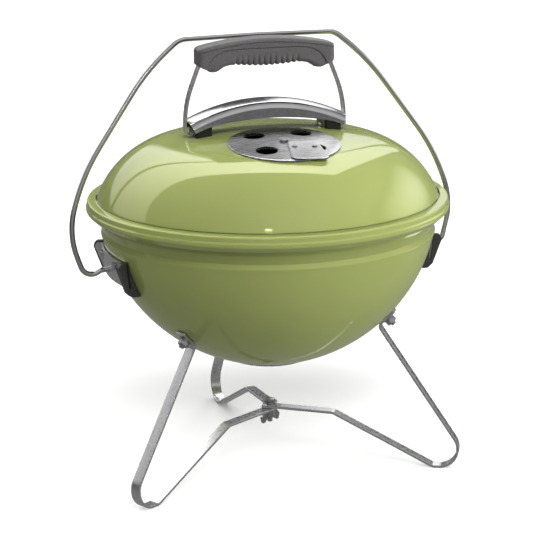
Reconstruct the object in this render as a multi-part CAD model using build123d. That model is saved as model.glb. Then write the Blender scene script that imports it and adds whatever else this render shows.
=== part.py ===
from build123d import *
import os
from math import asin, atan2, cos, degrees, hypot, radians, sin, sqrt

# Portable charcoal kettle grill: bowl on three bent-strap legs, domed lid with a
# turning vent disc, wire bail pivoted in two side brackets, and two loose grates.
# Origin on the ground under the kettle's centre, +X to the right along the bail's
# pivot line, +Y to the rear, +Z up. Millimetres.

# ---- driving dimensions ------------------------------------------------------
SHEET = 1.2               # enamelled sheet steel of bowl and lid
GAP = 0.3                 # clearance between parts that move past each other
PIVOT_FIT = 0.05          # radial running clearance of a pivot

# Bowl
BOTTOM_RADIUS = 175.0     # spherical bottom
BOTTOM_CENTRE_Z = 286.0
NECK_RADIUS = 170.2
SHOULDER_RADIUS = 74.0    # arc that blends the bottom into the neck
SHOULDER_Z = 255.0
NECK_TOP_Z = 257.6
COLLAR_RADIUS = 174.0     # widened collar that holds the cooking grate
COLLAR_Z = 268.6
RIM_ROLL_RADIUS = 2.6
RIM_ROLL = (176.2, 283.2)

# Lid
CROWN_Z = 356.0
CROWN_RADIUS = 591.0
SIDE_ARC_RADIUS = 95.0
SIDE_ARC_CENTRE = (86.6, 253.5)
FLANGE_INNER_Z = 287.8
FLANGE_OUTER = (184.4, 287.2)
BEAD_RADIUS = 186.3
BEAD_TOP_Z = 281.0
BEAD_LOW_Z = 277.0
LID_EDGE = (181.0, 272.0)
RIM_BENDS = [1.8, 2.0, 3.5]
LID_TURN = -3.0           # how far the lid is turned from square on the bowl

# Legs
STRAP_WIDTH = 11.5
STRAP_THICK = 2.8
LEG_ANGLES = {"leg_front_left": 210.0, "leg_front_right": 330.0, "leg_rear": 90.0}
TAB_ANGLE = 45.0          # where the leg's tab meets the bottom, from straight down
TAB_REACH = 11.0          # half length of the tab
FOOT_CORNER = 220.5
FOOT_BEND = 21.5
TOE_CORNER = 174.0
TOE_BEND = 11.0
KNEE = (68.0, 52.9)
KNEE_BEND = 7.0
HUB_FLAT = 12.0
HUB_OVERHANG = 8.0
HUB_Z = 52.0              # lowest of the three stacked strap ends
HUB_PITCH = STRAP_THICK + 0.1
BOLT_RADIUS = 3.0
BOLT_FIT = 0.1            # radial clearance of a bolt in its hole
LEG_BOLT_HEAD = 5.5       # radius of the round head inside the bowl
LEG_BOLT_HEAD_THICK = 3.35
LEG_BOLT_END = 9.0        # how far the bolt stands out of the strap
LEG_WASHER_RADIUS = 6.2
LEG_WASHER_THICK = 1.2
LEG_NUT_ACROSS = 10.0
LEG_NUT_THICK = 5.0
HUB_WASHER_RADIUS = 8.0
HUB_WASHER_THICK = 1.3
HUB_HEAD_ACROSS = 10.0
HUB_HEAD_THICK = 2.8
HUB_BOLT_END = 13.0       # how far the bolt reaches below the straps
NUT_BODY_RADIUS = 5.2
NUT_BODY_HEIGHT = 7.5
WING_THICK = 2.8
WING_TURN = 25.0
# One wing from its root round to its root, as (distance out, distance down).
WING_CORNERS = [(3.0, 1.0), (9.0, 1.5), (13.0, 6.0), (11.5, 13.0), (7.5, 12.0), (3.0, 6.5)]
WING_BENDS = [2.0, 3.0, 1.6, 1.6]

# Bail
ROD_RADIUS = 2.8
PIVOT_Z = 223.0
BAIL_LEAN = 7.0           # degrees behind upright
BAIL_END_X = 166.6
BAIL_HEAD_RADIUS = 3.8
BAIL_HEAD_X = 165.4
# Corners of one side as (distance from the middle, height above the pivot).
BAIL_CORNERS = [(178.0, 0.0), (193.5, -9.0), (208.7, 39.0), (189.8, 97.0), (119.4, 195.5), (83.0, 225.6)]
BAIL_BENDS = [10.0, 11.5, 80.0, 200.0, 220.0, 22.0]
BAIL_CROWN = 226.6        # height of the top bar's middle above the pivot
BAIL_CROWN_BEND = 500.0

# Side brackets
BRACKET_HALF_ANGLE = 16.0
BRACKET_SHEET = 2.0
PLATE_TOP = (172.0, 240.0)
PLATE_LOW = (169.2, 214.5)
WING_OUTER = [(176.5, 240.0), (179.0, 236.0), (169.5, 211.0), (165.0, 207.0)]
WING_LOW_Z = 206.5
WING_ROUND = 2.5
PAD_THICK = 4.0
PAD_LIP = 1.6
RIVET_RADIUS = 2.4
RIVET_Z = 234.0
RIVET_ANGLE = 9.0

# Lid handle and heat shield
HANDLE_Y = 6.5
FOOT_END_X = 58.0
STRAP_SIDE = [(85.2, 349.0), (84.6, 384.0), (66.5, 431.0)]
STRAP_BENDS = [5.0, 110.0, 12.0]
HANDLE_STRAP_WIDTH = 10.0
HANDLE_STRAP_THICK = 2.5
HANDLE_BOLT_X = 68.0
HANDLE_BOLT_RADIUS = 2.5
GRIP_HALF_LENGTH = 73.0
GRIP_DEPTH = 25.0
GRIP_CROWN_Z = 448.3
GRIP_END_Z = (423.0, 439.5)
INSERT_DEPTH = 22.0
INSERT_TOP_Z = 439.2
INSERT_LOW_X = 63.0
INSERT_TOP_X = 49.0
INSERT_ARCH_Z = 421.5
LOBE_Z = 415.5
RIB_COUNT = 13
RIB_PITCH = 5.8
RIB_RADIUS = 2.4
SHIELD_ARCH_RADIUS = 188.0
SHIELD_CROWN_Z = 386.0
SHIELD_HALF_DEPTH = 20.0
SHIELD_CAMBER_RADIUS = 31.0
SHIELD_LIP = 12.0
SHIELD_SHEET = 1.2
SHIELD_HALF_LENGTH = 79.0
LIP_EDGE_RADIUS = 312.0
LIP_EDGE_Z = 368.5
BLOCK_X = (59.0, 77.0)
BLOCK_HALF_DEPTH = 17.0

# Vent discs
DISC_RADIUS = 56.0
DISC_THICK = 1.5
DISC_OFFSET = 63.0        # from the lid's axis to the disc's centre
VENT_RADIUS = 11.0
VENT_PITCH_RADIUS = 34.5
TAB_TURN = 22.4           # where the tab's middle lies round the disc
TAB_REACH_OUT = 34.8      # how far the tab's middle is from the disc's axis
TAB_SKEW = -27.8          # turn of the tab about its own middle
TAB_WIDTH = 38.0
TAB_LENGTH = 50.0
TAB_CORNER = 8.0
TAB_RIVET_X = 10.0        # measured on the tab from its middle
TAB_RIVET_Y = 9.0
TAB_RIVET_RADIUS = 1.5
TAB_RIVET_HEAD = 2.8
VENT_RIVET_RADIUS = 3.0
VENT_RIVET_HEAD = 5.5
LOW_DISC_RADIUS = 44.0
LOW_VENT_RADIUS = 9.0
LOW_VENT_PITCH = 27.0

# Grates
GRATE_ROD = 2.0
RING_ROD = 2.5
COOKING_RING = 168.9
COOKING_Z = 267.4
COOKING_BARS = 15
CHARCOAL_RING = 130.0
CHARCOAL_Z = 174.9
CHARCOAL_BARS = 9

CROWN_CENTRE_Z = CROWN_Z - CROWN_RADIUS
DISC_TILT = degrees(asin(DISC_OFFSET / CROWN_RADIUS))
SHIELD_AXIS_Z = SHIELD_CROWN_Z - SHIELD_ARCH_RADIUS


# ---- helpers -------------------------------------------------------------------
def save(shape, node):
    export_step(shape, f"parts/{node}.step")


def group(shapes):
    """Separate solids kept together in one node."""
    members = []
    for shape in shapes:
        members += shape.solids()
    return Compound(children=members)


def bar(start, end, radius):
    """A round bar from one point to another."""
    run = Vector(*end) - Vector(*start)
    upright = Cylinder(radius, run.length, align=(Align.CENTER, Align.CENTER, Align.MIN))
    return Plane(origin=start, z_dir=run) * upright


def pin(plane, radius, low, high):
    """A cylinder along a plane's normal, between two heights over the plane."""
    stock = Cylinder(radius, high - low, align=(Align.CENTER, Align.CENTER, Align.MIN))
    return plane * Pos(0, 0, low) * stock


def hexagon(plane, across, low, high):
    """A hexagonal prism along a plane's normal."""
    flat = RegularPolygon(across / 2, 6, major_radius=False)
    return extrude(plane * Pos(0, 0, low) * flat, high - low)


def sheet_section(path, thick, side):
    """The closed section of a sheet that lies on one side of a path."""
    return make_face(offset(path, amount=thick, kind=Kind.ARC, side=side))


def turned(section):
    """The solid of revolution of a section drawn as (radius, height)."""
    return revolve(Plane.XZ * section, Axis.Z)


def on_bottom(angle_down, direction, out=0.0):
    """A plane on the bowl's spherical outside, its normal pointing outwards."""
    tilt = radians(angle_down)
    turn = radians(direction)
    normal = Vector(sin(tilt) * cos(turn), sin(tilt) * sin(turn), -cos(tilt))
    centre = Vector(0, 0, BOTTOM_CENTRE_Z) + normal * (BOTTOM_RADIUS + out)
    return Plane(origin=centre, z_dir=normal)


def bowl_radius(z):
    """Outside radius of the bowl between its bottom and its neck."""
    reach = NECK_RADIUS - SHOULDER_RADIUS
    on_sphere = sqrt(BOTTOM_RADIUS ** 2 - (BOTTOM_CENTRE_Z - z) ** 2)
    if reach * (BOTTOM_CENTRE_Z - z) > on_sphere * (BOTTOM_CENTRE_Z - SHOULDER_Z):
        return on_sphere
    return reach + sqrt(SHOULDER_RADIUS ** 2 - (SHOULDER_Z - z) ** 2)


# ---- bowl ----------------------------------------------------------------------
def bowl_path():
    reach = NECK_RADIUS - SHOULDER_RADIUS
    drop = BOTTOM_CENTRE_Z - SHOULDER_Z
    blend = atan2(drop, reach)
    joint = (BOTTOM_RADIUS * cos(blend), BOTTOM_CENTRE_Z - BOTTOM_RADIUS * sin(blend))
    half = (90 - degrees(blend)) / 2
    middle_angle = radians(half)
    middle = (BOTTOM_RADIUS * sin(middle_angle), BOTTOM_CENTRE_Z - BOTTOM_RADIUS * cos(middle_angle))
    bottom = ThreePointArc((0, BOTTOM_CENTRE_Z - BOTTOM_RADIUS), middle, joint)
    side_angle = blend / 2
    side_middle = (reach + SHOULDER_RADIUS * cos(side_angle), SHOULDER_Z - SHOULDER_RADIUS * sin(side_angle))
    shoulder = ThreePointArc(joint, side_middle, (NECK_RADIUS, SHOULDER_Z))
    collar = FilletPolyline(
        (NECK_RADIUS, SHOULDER_Z), (NECK_RADIUS, NECK_TOP_Z), (COLLAR_RADIUS, COLLAR_Z), (COLLAR_RADIUS, RIM_ROLL[1]),
        radius=[1.5, 3.0])
    return Wire([bottom.edge(), shoulder.edge()] + list(collar.edges()))


def low_vents(radius):
    spots = PolarLocations(LOW_VENT_PITCH, 4, start_angle=45)
    return [Pos(0, 0, 110) * spot * Cylinder(radius, 40) for spot in spots]


def bowl_shell():
    shell = turned(sheet_section(bowl_path(), SHEET, Side.LEFT))
    roll = turned(Pos(*RIM_ROLL) * Circle(RIM_ROLL_RADIUS))
    shell = shell + roll
    for angle in LEG_ANGLES.values():
        shell -= pin(on_bottom(TAB_ANGLE, angle), BOLT_RADIUS + BOLT_FIT, -6, 6)
    for hole in low_vents(LOW_VENT_RADIUS):
        shell -= hole
    shell -= Pos(0, 0, 110) * Cylinder(VENT_RIVET_RADIUS + 0.1, 20)
    for spot in rivet_planes():
        shell -= pin(spot, RIVET_RADIUS + 0.1, -12, 6)
    return shell


# ---- legs ----------------------------------------------------------------------
def leg(direction, hub_z):
    """One leg, drawn along its outer and lower face."""
    tilt = radians(TAB_ANGLE)
    out = BOTTOM_RADIUS + GAP + STRAP_THICK
    seat = Vector(out * sin(tilt), BOTTOM_CENTRE_Z - out * cos(tilt))
    along = Vector(cos(tilt), sin(tilt))
    tab_end = seat + along * TAB_REACH
    ankle = seat - along * TAB_REACH
    path = FilletPolyline(
        (tab_end.X, tab_end.Y), (ankle.X, ankle.Y), (FOOT_CORNER, 0), (TOE_CORNER, 0), KNEE,
        (HUB_FLAT, hub_z), (-HUB_OVERHANG, hub_z),
        radius=[4.0, FOOT_BEND, TOE_BEND, KNEE_BEND, 6.0])
    section = sheet_section(path, STRAP_THICK, Side.RIGHT)
    strap = extrude(Plane.XZ * section, STRAP_WIDTH / 2, both=True)
    strap = strap.rotate(Axis.Z, direction)
    strap -= pin(on_bottom(TAB_ANGLE, direction), BOLT_RADIUS + BOLT_FIT, 0, 8)
    strap -= Pos(0, 0, HUB_Z) * Cylinder(BOLT_RADIUS + BOLT_FIT, 40)
    return strap


def leg_bolt(direction):
    spot = on_bottom(TAB_ANGLE, direction)
    seat = -SHEET - 0.25
    head = pin(spot, LEG_BOLT_HEAD, seat - LEG_BOLT_HEAD_THICK, seat)
    return head + pin(spot, BOLT_RADIUS, seat - 0.25, GAP + STRAP_THICK + LEG_BOLT_END)


def leg_washer(direction):
    spot = on_bottom(TAB_ANGLE, direction)
    low = GAP + STRAP_THICK + 0.05
    high = low + LEG_WASHER_THICK
    return pin(spot, LEG_WASHER_RADIUS, low, high) - pin(spot, BOLT_RADIUS + PIVOT_FIT, low - 1, high + 1)


def leg_nut(direction):
    spot = on_bottom(TAB_ANGLE, direction)
    low = GAP + STRAP_THICK + LEG_WASHER_THICK + 0.1
    high = low + LEG_NUT_THICK
    return hexagon(spot, LEG_NUT_ACROSS, low, high) - pin(spot, BOLT_RADIUS + 0.02, low - 1, high + 1)


def hub_parts():
    top = HUB_Z + 2 * HUB_PITCH + STRAP_THICK
    seat = top + 0.1 + HUB_WASHER_THICK
    ground = Plane.XY
    washer = pin(ground, HUB_WASHER_RADIUS, top + 0.1, seat)
    washer -= pin(ground, BOLT_RADIUS + PIVOT_FIT, top - 1, seat + 1)
    head = hexagon(ground, HUB_HEAD_ACROSS, seat + 0.1, seat + 0.1 + HUB_HEAD_THICK)
    return washer, head + pin(ground, BOLT_RADIUS, HUB_Z - HUB_BOLT_END, seat + 1)


def wing_nut():
    """Hub, cone and two rounded wings that hang below the stacked straps."""
    top = HUB_Z - 0.1
    body = pin(Plane.XY, NUT_BODY_RADIUS, top - NUT_BODY_HEIGHT, top)
    corners = [(out, top - down) for out, down in WING_CORNERS]
    ear = FilletPolyline(*corners, radius=WING_BENDS)
    closed = make_face(Wire(list(ear.edges()) + [Line(corners[-1], corners[0]).edge()]))
    ear_plate = extrude(Plane.XZ * closed, WING_THICK / 2, both=True)
    nut = body + ear_plate + ear_plate.rotate(Axis.Z, 180)
    nut -= pin(Plane.XY, BOLT_RADIUS + 0.02, top - 20, top + 5)
    return nut.rotate(Axis.Z, WING_TURN)


# ---- side brackets -------------------------------------------------------------
def bowl_side_points(low, high, out, steps=4):
    """Points up the bowl's outside, moved outwards, from one height to another."""
    heights = [low + (high - low) * step / steps for step in range(steps + 1)]
    return [(bowl_radius(z) + out, z) for z in heights]


def wing_outline(grow):
    """Side view of a bracket's wing, grown on its outer edges only."""
    inner = bowl_side_points(WING_LOW_Z - grow, PLATE_TOP[1] + grow, 0.6)
    top, shoulder, low, toe = WING_OUTER
    outer = [(top[0] + grow / 2, top[1] + grow), (shoulder[0] + grow, shoulder[1] + grow / 2),
             (low[0] + grow, low[1] - grow / 2), (toe[0] + grow / 2, toe[1] - grow)]
    face = make_face(Polyline(inner + outer, close=True))
    corners = [corner for corner in face.vertices() if corner.X > bowl_radius(corner.Y) + 6]
    return fillet(corners, WING_ROUND + grow)


def wing(side, thick, grow, out):
    """A wing or its pad: a plate in a radial plane, on the outer side of the bracket."""
    plate = extrude(Plane.XZ * wing_outline(grow), thick)
    shift = out + thick if side > 0 else -out
    return (Pos(0, shift, 0) * plate).rotate(Axis.Z, side * BRACKET_HALF_ANGLE)


def bracket_plate():
    inner_top = (PLATE_TOP[0] - BRACKET_SHEET, PLATE_TOP[1])
    inner_low = (PLATE_LOW[0] - BRACKET_SHEET, PLATE_LOW[1])
    strip = make_face(Polyline(PLATE_LOW, PLATE_TOP, inner_top, inner_low, close=True))
    arc = 2 * BRACKET_HALF_ANGLE
    return revolve(Plane.XZ * strip, Axis.Z, arc).rotate(Axis.Z, -BRACKET_HALF_ANGLE)


def right_bracket():
    bracket = bracket_plate()
    for side in (-1, 1):
        bracket += wing(side, BRACKET_SHEET, 0.0, -BRACKET_SHEET)
    bracket -= bar((150, 0, PIVOT_Z), (190, 0, PIVOT_Z), ROD_RADIUS + PIVOT_FIT)
    for spot in rivet_planes()[:2]:
        bracket -= pin(spot, RIVET_RADIUS + 0.1, -1, 12)
    return bracket


def right_pad(side):
    cover = wing(side, PAD_THICK + BRACKET_SHEET, PAD_LIP, -BRACKET_SHEET)
    slot = wing(side, BRACKET_SHEET, 0.05, -BRACKET_SHEET)
    return cover - slot - plate_clearance()


def plate_clearance():
    inner_top = (PLATE_TOP[0] - BRACKET_SHEET - 0.5, PLATE_TOP[1] + 0.1)
    inner_low = (PLATE_LOW[0] - BRACKET_SHEET - 0.5, PLATE_LOW[1] - 0.1)
    strip = make_face(Polyline((PLATE_LOW[0] + 0.1, PLATE_LOW[1] - 0.1), (PLATE_TOP[0] + 0.1, PLATE_TOP[1] + 0.1),
                               inner_top, inner_low, close=True))
    return revolve(Plane.XZ * strip, Axis.Z, 40).rotate(Axis.Z, -20)


def rivet_planes():
    """Planes on the bowl's side where the bracket rivets go, right side first."""
    planes = []
    for direction in (-RIVET_ANGLE, RIVET_ANGLE, 180 - RIVET_ANGLE, 180 + RIVET_ANGLE):
        turn = radians(direction)
        radius = bowl_radius(RIVET_Z)
        spot = (radius * cos(turn), radius * sin(turn), RIVET_Z)
        planes.append(Plane(origin=spot, z_dir=(cos(turn), sin(turn), 0)))
    return planes


def bracket_rivet(spot):
    """Head outside, collar between bowl and plate, and a formed end inside the bowl."""
    slope = (PLATE_TOP[0] - PLATE_LOW[0]) / (PLATE_TOP[1] - PLATE_LOW[1])
    plate_face = PLATE_LOW[0] + slope * (RIVET_Z - PLATE_LOW[1]) - bowl_radius(RIVET_Z)
    head = pin(spot, 4.0, plate_face + 0.6, plate_face + 2.4)
    shank = pin(spot, RIVET_RADIUS, -SHEET - 2.2, plate_face + 1.0)
    tail = pin(spot, 4.0, -SHEET - 3.4, -SHEET - 1.6)
    return head + shank + tail


# ---- bail ----------------------------------------------------------------------
def bail():
    left = [(-x, height) for x, height in reversed(BAIL_CORNERS)]
    points = [(BAIL_END_X, 0)] + BAIL_CORNERS + [(0, BAIL_CROWN)] + left + [(-BAIL_END_X, 0)]
    bends = BAIL_BENDS + [BAIL_CROWN_BEND] + BAIL_BENDS[::-1]
    path = Plane.XZ * FilletPolyline(*points, radius=bends)
    start = Plane(origin=(BAIL_END_X, 0, 0), z_dir=(1, 0, 0))
    rod = sweep(start * Circle(ROD_RADIUS), path=path)
    for side in (-1, 1):
        rod += bar((side * BAIL_HEAD_X, 0, 0), (side * (BAIL_END_X + 0.8), 0, 0), BAIL_HEAD_RADIUS)
    return Pos(0, 0, PIVOT_Z) * rod.rotate(Axis.X, -BAIL_LEAN)


# ---- lid -----------------------------------------------------------------------
def crown_z(radius, out=0.0):
    return CROWN_CENTRE_Z + sqrt((CROWN_RADIUS + out) ** 2 - radius ** 2)


def lid_path():
    """The lid's outside from its middle to its lower edge."""
    side_x, side_z = SIDE_ARC_CENTRE
    rise = side_z - CROWN_CENTRE_Z
    meet = atan2(rise, side_x)
    joint = (CROWN_RADIUS * cos(meet), CROWN_CENTRE_Z + CROWN_RADIUS * sin(meet))
    crown = RadiusArc((0, CROWN_Z), joint, CROWN_RADIUS)
    low = asin((FLANGE_INNER_Z - side_z) / SIDE_ARC_RADIUS)
    half = (meet + low) / 2
    side_middle = (side_x + SIDE_ARC_RADIUS * cos(half), side_z + SIDE_ARC_RADIUS * sin(half))
    side_joint = (side_x + SIDE_ARC_RADIUS * cos(meet), side_z + SIDE_ARC_RADIUS * sin(meet))
    side_end = (side_x + SIDE_ARC_RADIUS * cos(low), FLANGE_INNER_Z)
    side = ThreePointArc(side_joint, side_middle, side_end)
    rim = FilletPolyline(side_end, FLANGE_OUTER, (BEAD_RADIUS, BEAD_TOP_Z), (BEAD_RADIUS, BEAD_LOW_Z), LID_EDGE,
                         radius=RIM_BENDS)
    edges = [crown.edge(), side.edge()] + list(rim.edges())
    if hypot(side_joint[0] - joint[0], side_joint[1] - joint[1]) > 1e-4:
        edges.insert(1, Line(joint, side_joint).edge())
    return Wire(edges)


def vent_frame(shape):
    """Moves a shape from a frame at the crown's centre, disc axis up, onto the lid."""
    return Pos(0, 0, CROWN_CENTRE_Z) * shape.rotate(Axis.X, DISC_TILT)


def vent_holes(radius):
    spots = PolarLocations(VENT_PITCH_RADIUS, 4, start_angle=45)
    return [Pos(0, 0, CROWN_RADIUS) * spot * Cylinder(radius, 20) for spot in spots]


def lid_shell():
    shell = turned(sheet_section(lid_path(), SHEET, Side.RIGHT))
    for hole in vent_holes(VENT_RADIUS) + [Pos(0, 0, CROWN_RADIUS) * Cylinder(VENT_RIVET_RADIUS + 0.1, 20)]:
        shell -= vent_frame(hole)
    for spot in handle_bolt_planes():
        shell -= pin(spot, HANDLE_BOLT_RADIUS + BOLT_FIT, -8, 8)
    return shell


def vent_rivet():
    base = CROWN_RADIUS
    rivet = pin(Plane.XY, VENT_RIVET_RADIUS, base - SHEET - 1.5, base + GAP + DISC_THICK + 0.6)
    rivet += pin(Plane.XY, VENT_RIVET_HEAD, base - SHEET - 1.8, base - SHEET - 0.1)
    rivet += pin(Plane.XY, VENT_RIVET_HEAD, base + GAP + DISC_THICK + 0.2, base + GAP + DISC_THICK + 2.0)
    return vent_frame(rivet)


def shell_between(inner, outer, cutter):
    return (Sphere(outer) - Sphere(inner)) & cutter


def vent_disc():
    inner = CROWN_RADIUS + GAP
    round_cut = pin(Plane.XY, DISC_RADIUS, CROWN_RADIUS - 20, CROWN_RADIUS + 20)
    disc = shell_between(inner, inner + DISC_THICK, round_cut)
    disc -= pin(Plane.XY, VENT_RIVET_RADIUS + PIVOT_FIT, CROWN_RADIUS - 20, CROWN_RADIUS + 20)
    for hole in vent_holes(VENT_RADIUS):
        disc -= hole
    return vent_frame(disc)


def tab_plane():
    """The tab's underside: flat, and touching the curved disc only at the tab's middle."""
    tilt = degrees(TAB_REACH_OUT / CROWN_RADIUS)
    height = CROWN_RADIUS + GAP + DISC_THICK + 0.05
    return Rot(0, 0, TAB_TURN) * Rot(tilt, 0, 0) * Pos(0, 0, height) * Rot(0, 0, TAB_SKEW)


def vent_tab():
    outline = fillet(Rectangle(TAB_WIDTH, TAB_LENGTH).vertices(), TAB_CORNER)
    tab = extrude(outline, SHEET)
    for side in (-1, 1):
        tab -= Pos(side * TAB_RIVET_X, TAB_RIVET_Y, 0) * Cylinder(TAB_RIVET_RADIUS + 0.05, 10)
    return vent_frame(tab_plane() * tab)


def tab_rivets():
    made = []
    for side in (-1, 1):
        spot = Pos(side * TAB_RIVET_X, TAB_RIVET_Y, 0)
        shank = spot * Cylinder(TAB_RIVET_RADIUS, SHEET + 0.7, align=(Align.CENTER, Align.CENTER, Align.MIN))
        head = spot * Pos(0, 0, SHEET + 0.1) * Cylinder(
            TAB_RIVET_HEAD, 1.0, align=(Align.CENTER, Align.CENTER, Align.MIN))
        made.append(vent_frame(tab_plane() * (shank + head)))
    return made


def handle_bolt_planes():
    planes = []
    for side in (-1, 1):
        x = side * HANDLE_BOLT_X
        radius = hypot(x, HANDLE_Y)
        normal = Vector(x, HANDLE_Y, crown_z(radius) - CROWN_CENTRE_Z)
        planes.append(Plane(origin=(x, HANDLE_Y, crown_z(radius)), z_dir=normal))
    return planes


def handle_strap():
    """One bent bar from foot to foot, through the grip."""
    slope = -HANDLE_BOLT_X / (crown_z(HANDLE_BOLT_X) - CROWN_CENTRE_Z)
    seat = crown_z(hypot(HANDLE_BOLT_X, HANDLE_Y)) + GAP
    foot_end = (FOOT_END_X, seat + slope * (FOOT_END_X - HANDLE_BOLT_X))
    heel_x = STRAP_SIDE[0][0]
    heel = (heel_x, seat + slope * (heel_x - HANDLE_BOLT_X))
    right = [foot_end, heel] + STRAP_SIDE[1:]
    left = [(-x, z) for x, z in reversed(right)]
    bends = STRAP_BENDS + STRAP_BENDS[::-1]
    path = FilletPolyline(*(right + left), radius=bends)
    section = sheet_section(path, HANDLE_STRAP_THICK, Side.LEFT)
    strap = Pos(0, HANDLE_Y, 0) * extrude(Plane.XZ * section, HANDLE_STRAP_WIDTH / 2, both=True)
    for spot in handle_bolt_planes():
        strap -= pin(spot, HANDLE_BOLT_RADIUS + BOLT_FIT, -3, 8)
    return strap


def handle_bolts():
    """Screws from inside the lid, through the strap's feet into the blocks."""
    made = []
    for spot in handle_bolt_planes():
        head = pin(spot, 4.5, -SHEET - 2.8, -SHEET - 0.1)
        made.append(head + pin(spot, HANDLE_BOLT_RADIUS, -SHEET - 1.0, 7.5))
    return made


def foot_block(side, strap):
    """Heat-proof block between the lid, the strap's foot and the shield's lip."""
    low, high = BLOCK_X
    stock = Pos(side * (low + high) / 2, HANDLE_Y, 356) * Box(high - low, 2 * BLOCK_HALF_DEPTH, 30)
    stock = fillet(stock.edges().filter_by(Axis.Z), 4.0)
    over = Pos(0, HANDLE_Y, LIP_EDGE_Z - LIP_EDGE_RADIUS) * Rot(90, 0, 0) * Cylinder(LIP_EDGE_RADIUS - 0.1, 60)
    block = (stock & over) - Pos(0, 0, CROWN_CENTRE_Z) * Sphere(CROWN_RADIUS + 0.2)
    block -= strap
    for spot in handle_bolt_planes():
        block -= pin(spot, HANDLE_BOLT_RADIUS + 0.02, -3, 7.8)
    return max(block.solids(), key=lambda piece: piece.volume)


def heat_shield():
    """Arched and cambered plate with turned-down lips, open at both ends."""
    half = SHIELD_HALF_DEPTH
    sag = SHIELD_CAMBER_RADIUS - sqrt(SHIELD_CAMBER_RADIUS ** 2 - half ** 2)
    rim = SHIELD_ARCH_RADIUS - sag
    front = Line((-half, rim - SHIELD_LIP), (-half, rim))
    camber = ThreePointArc((-half, rim), (0, SHIELD_ARCH_RADIUS), (half, rim))
    rear = Line((half, rim), (half, rim - SHIELD_LIP))
    path = Wire([front.edge(), camber.edge(), rear.edge()])
    section = Plane.YZ * sheet_section(path, SHIELD_SHEET, Side.RIGHT)
    spread = degrees(asin(SHIELD_HALF_LENGTH / rim))
    shield = revolve(section, Axis.Y, 2 * spread).rotate(Axis.Y, -spread)
    shield = Pos(0, HANDLE_Y, SHIELD_AXIS_Z) * shield
    below = Pos(0, HANDLE_Y, LIP_EDGE_Z - LIP_EDGE_RADIUS) * Rot(90, 0, 0) * Cylinder(LIP_EDGE_RADIUS, 80)
    return shield - below


def grip_outline():
    low, high = GRIP_END_Z
    end = GRIP_HALF_LENGTH
    top = ThreePointArc((-end, high), (0, GRIP_CROWN_Z), (end, high))
    under = Polyline((end, high), (end, low), (INSERT_LOW_X - 1, LOBE_Z + 2.5), (1 - INSERT_LOW_X, LOBE_Z + 2.5),
                     (-end, low), (-end, high))
    return make_face(Wire([top.edge()] + list(under.edges())))


def insert_outline():
    arch = FilletPolyline((INSERT_LOW_X, LOBE_Z + 2.5), (INSERT_TOP_X, INSERT_TOP_Z), (-INSERT_TOP_X, INSERT_TOP_Z),
                          (-INSERT_LOW_X, LOBE_Z + 2.5), radius=[16.0, 16.0])
    lobe = [(-INSERT_LOW_X, LOBE_Z + 2.5), (-58, LOBE_Z), (-50, LOBE_Z), (-39, INSERT_ARCH_Z),
            (39, INSERT_ARCH_Z), (50, LOBE_Z), (58, LOBE_Z), (INSERT_LOW_X, LOBE_Z + 2.5)]
    under = Polyline(*lobe)
    return make_face(Wire(list(arch.edges()) + list(under.edges())))


def grip_upper(strap):
    body = extrude(Plane.XZ * grip_outline(), GRIP_DEPTH / 2, both=True)
    tall = [edge for edge in body.edges().filter_by(Axis.Z) if abs(edge.center().X) > GRIP_HALF_LENGTH - 1]
    body = fillet(tall, 6.0)
    crown = [edge for edge in body.edges() if edge.center().Z > GRIP_END_Z[1] - 0.5]
    body = fillet(crown, 3.0)
    body = Pos(0, HANDLE_Y, 0) * body
    body -= Pos(0, HANDLE_Y, 0) * extrude(Plane.XZ * insert_outline(), GRIP_DEPTH, both=True)
    body = max(body.solids(), key=lambda piece: piece.volume)
    return body - strap


def grip_insert(strap):
    body = extrude(Plane.XZ * insert_outline(), INSERT_DEPTH / 2, both=True)
    body &= Pos(0, 0, INSERT_TOP_Z - 50.2) * Box(200, 100, 100)
    for index in range(RIB_COUNT):
        x = (index - (RIB_COUNT - 1) / 2) * RIB_PITCH
        rib = Pos(x, 0, INSERT_ARCH_Z + 0.6) * Rot(90, 0, 0) * Cylinder(RIB_RADIUS, INSERT_DEPTH)
        body += rib
    body = Pos(0, HANDLE_Y, 0) * body
    for side in (-1, 1):
        body -= pin(Plane(origin=(side * 54.0, HANDLE_Y, 0)), 1.62, LOBE_Z - 1, LOBE_Z + 9)
        body -= pin(Plane(origin=(side * 54.0, HANDLE_Y, 0)), 3.2, LOBE_Z - 1, LOBE_Z + 2)
    return body - strap


def grip_screws():
    made = []
    for side in (-1, 1):
        seat = Plane(origin=(side * 54.0, HANDLE_Y, 0))
        made.append(pin(seat, 3.1, LOBE_Z, LOBE_Z + 1.95) + pin(seat, 1.6, LOBE_Z + 1, LOBE_Z + 8.5))
    return made


# ---- bottom vent ---------------------------------------------------------------
def low_disc():
    inner = BOTTOM_RADIUS + GAP
    cutter = Pos(0, 0, -BOTTOM_RADIUS) * Cylinder(LOW_DISC_RADIUS, 60)
    tab_cut = Pos(0, LOW_DISC_RADIUS + 4, -BOTTOM_RADIUS) * Box(22, 32, 60)
    disc = shell_between(inner, inner + DISC_THICK, cutter + tab_cut)
    disc = Pos(0, 0, BOTTOM_CENTRE_Z) * disc
    for hole in low_vents(LOW_VENT_RADIUS):
        disc -= hole
    return disc - Pos(0, 0, 110) * Cylinder(VENT_RIVET_RADIUS + PIVOT_FIT, 20)


def low_rivet():
    base = BOTTOM_CENTRE_Z - BOTTOM_RADIUS
    rivet = pin(Plane.XY, VENT_RIVET_RADIUS, base - GAP - DISC_THICK - 0.8, base + SHEET + 1.4)
    rivet += pin(Plane.XY, 6.0, base - GAP - DISC_THICK - 1.6, base - GAP - DISC_THICK - 0.2)
    rivet += pin(Plane.XY, 6.0, base + SHEET + 0.2, base + SHEET + 1.7)
    return rivet


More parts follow.
